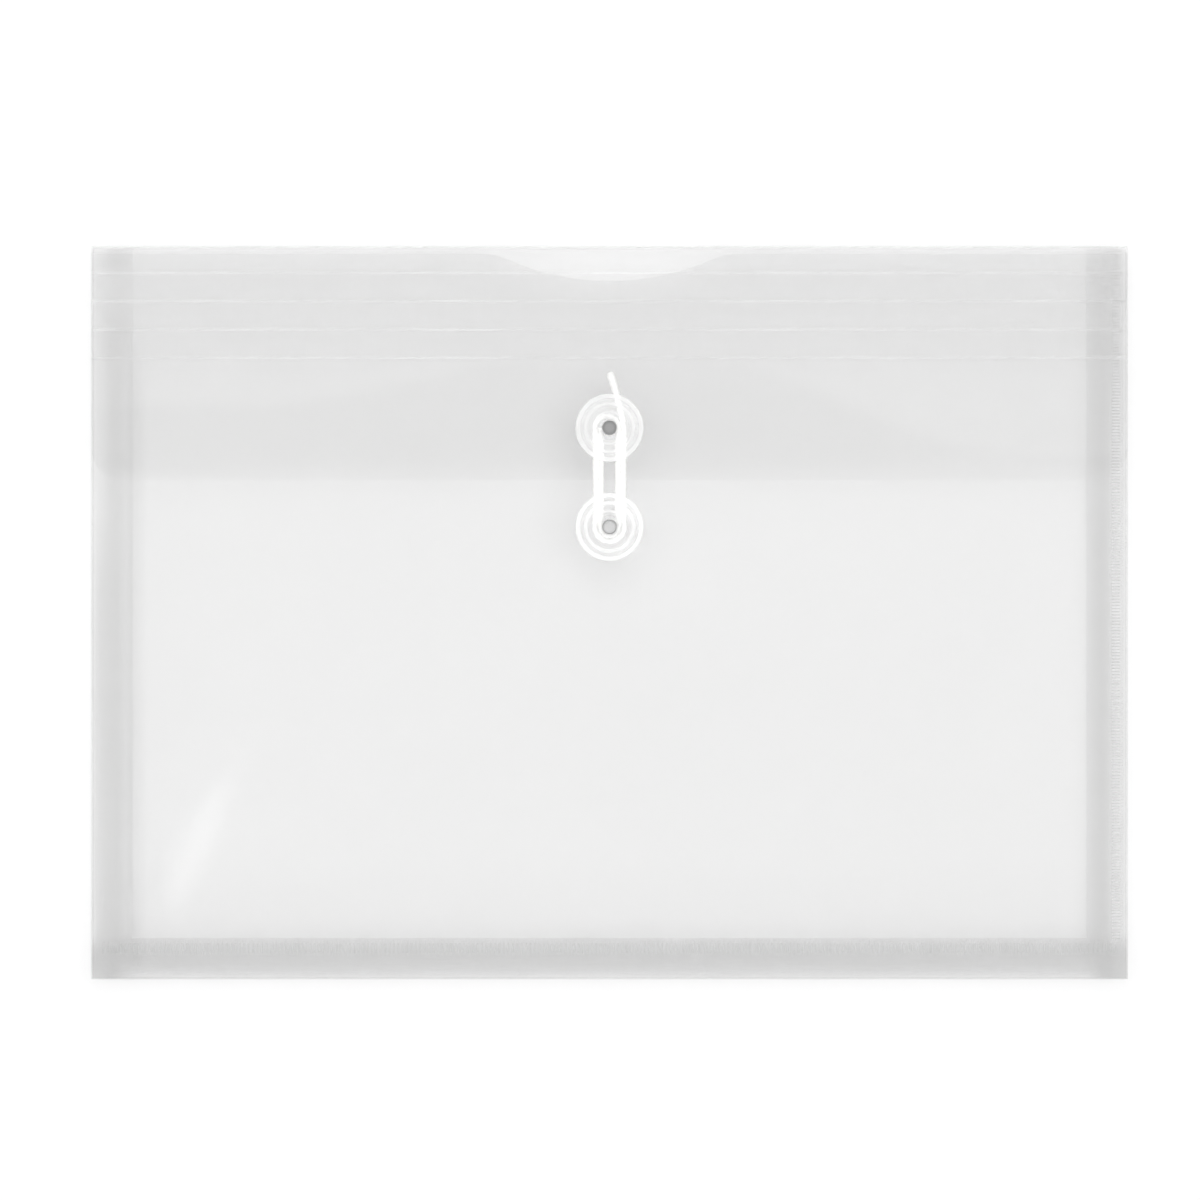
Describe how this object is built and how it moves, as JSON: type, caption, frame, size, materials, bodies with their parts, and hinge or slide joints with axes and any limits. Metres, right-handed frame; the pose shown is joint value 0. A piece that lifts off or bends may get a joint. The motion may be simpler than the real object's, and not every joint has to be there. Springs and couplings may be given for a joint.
{
  "type": "string tie envelope",
  "caption": "Flat clear film document envelope with pleated sides and bottom, a scored full-width flap, and a string wound round ringed discs to close it.",
  "frame": {"origin": "middle of the back panel's underside, on the surface the envelope lies on", "axes": "+X along the width to the viewer's right, +Y to the top fold, +Z out of the front"},
  "size_m": [0.33, 0.2334, 0.0117],
  "materials": {
    "film": "clear polypropylene film, faintly frosted",
    "disc_plastic": "moulded translucent plastic",
    "washer_plastic": "plain translucent plastic",
    "rivet_metal": "nickel",
    "string": "white twisted cotton"
  },
  "bodies": {
    "back": {"back_panel": "film"},
    "front": {"front_panel": "film", "right_weld_lap": "film", "bottom_weld_lap": "film", "pocket_rivet": "rivet_metal", "pocket_washer": "washer_plastic"},
    "left_back": {"left_back_leaf": "film"},
    "left_front": {"left_front_leaf": "film"},
    "right_back": {"right_back_leaf": "film"},
    "right_front": {"right_front_leaf": "film"},
    "bottom_back": {"bottom_back_leaf": "film"},
    "bottom_front": {"bottom_front_leaf": "film"},
    "spine": {"flap_spine": "film"},
    "flap": {"flap_panel": "film", "flap_rivet": "rivet_metal", "flap_washer": "washer_plastic", "tie_string": "string"},
    "flap_button": {"flap_disc": "disc_plastic"},
    "pocket_button": {"pocket_disc": "disc_plastic"}
  },
  "joints": [
    {"name": "flap_open", "type": "hinge", "parent": "spine", "child": "flap", "pos_m": [0, 0.11653, 0.00714], "axis": [-1, 0, 0], "range_deg": [0, 85], "deforming": ["tie_string"]},
    {"name": "spine_fold", "type": "hinge", "parent": "back", "child": "spine", "pos_m": [0, 0.11653, 0.00047], "axis": [-1, 0, 0], "range_deg": [0, 85]},
    {"name": "left_back_fold", "type": "hinge", "parent": "back", "child": "left_back", "pos_m": [-0.16487, 0, 0.00047], "axis": [0, -1, 0], "range_deg": [0, 34]},
    {"name": "left_inner_fold", "type": "hinge", "parent": "left_back", "child": "left_front", "pos_m": [-0.15109, 0, 0.00291], "axis": [0, 1, 0], "range_deg": [0, 68]},
    {"name": "left_front_fold", "type": "hinge", "parent": "left_front", "child": "front", "pos_m": [-0.16487, 0, 0.00534], "axis": [0, -1, 0], "range_deg": [0, 34]},
    {"name": "right_back_fold", "type": "hinge", "parent": "back", "child": "right_back", "pos_m": [0.16487, 0, 0.00047], "axis": [0, 1, 0], "range_deg": [0, 34]},
    {"name": "right_inner_fold", "type": "hinge", "parent": "right_back", "child": "right_front", "pos_m": [0.15109, 0, 0.00291], "axis": [0, -1, 0], "range_deg": [0, 68]},
    {"name": "bottom_back_fold", "type": "hinge", "parent": "back", "child": "bottom_back", "pos_m": [0, -0.11653, 0.00047], "axis": [1, 0, 0], "range_deg": [0, 34]},
    {"name": "bottom_inner_fold", "type": "hinge", "parent": "bottom_back", "child": "bottom_front", "pos_m": [0, -0.10274, 0.00291], "axis": [-1, 0, 0], "range_deg": [0, 68]},
    {"name": "flap_disc_spin", "type": "hinge", "parent": "flap", "child": "flap_button", "pos_m": [0, 0.05875, 0.00936], "axis": [0, 0, 1], "continuous": true},
    {"name": "pocket_disc_spin", "type": "hinge", "parent": "front", "child": "pocket_button", "pos_m": [0, 0.02725, 0.00936], "axis": [0, 0, 1], "continuous": true}
  ],
  "couplings": [
    {"joint": "spine_fold", "follows": "flap_open", "ratio": 1},
    {"joint": "left_back_fold", "follows": "flap_open", "ratio": 0.4},
    {"joint": "left_inner_fold", "follows": "flap_open", "ratio": 0.8},
    {"joint": "left_front_fold", "follows": "flap_open", "ratio": 0.4},
    {"joint": "right_back_fold", "follows": "flap_open", "ratio": 0.4},
    {"joint": "right_inner_fold", "follows": "flap_open", "ratio": 0.8},
    {"joint": "bottom_back_fold", "follows": "flap_open", "ratio": 0.4},
    {"joint": "bottom_inner_fold", "follows": "flap_open", "ratio": 0.8}
  ]
}
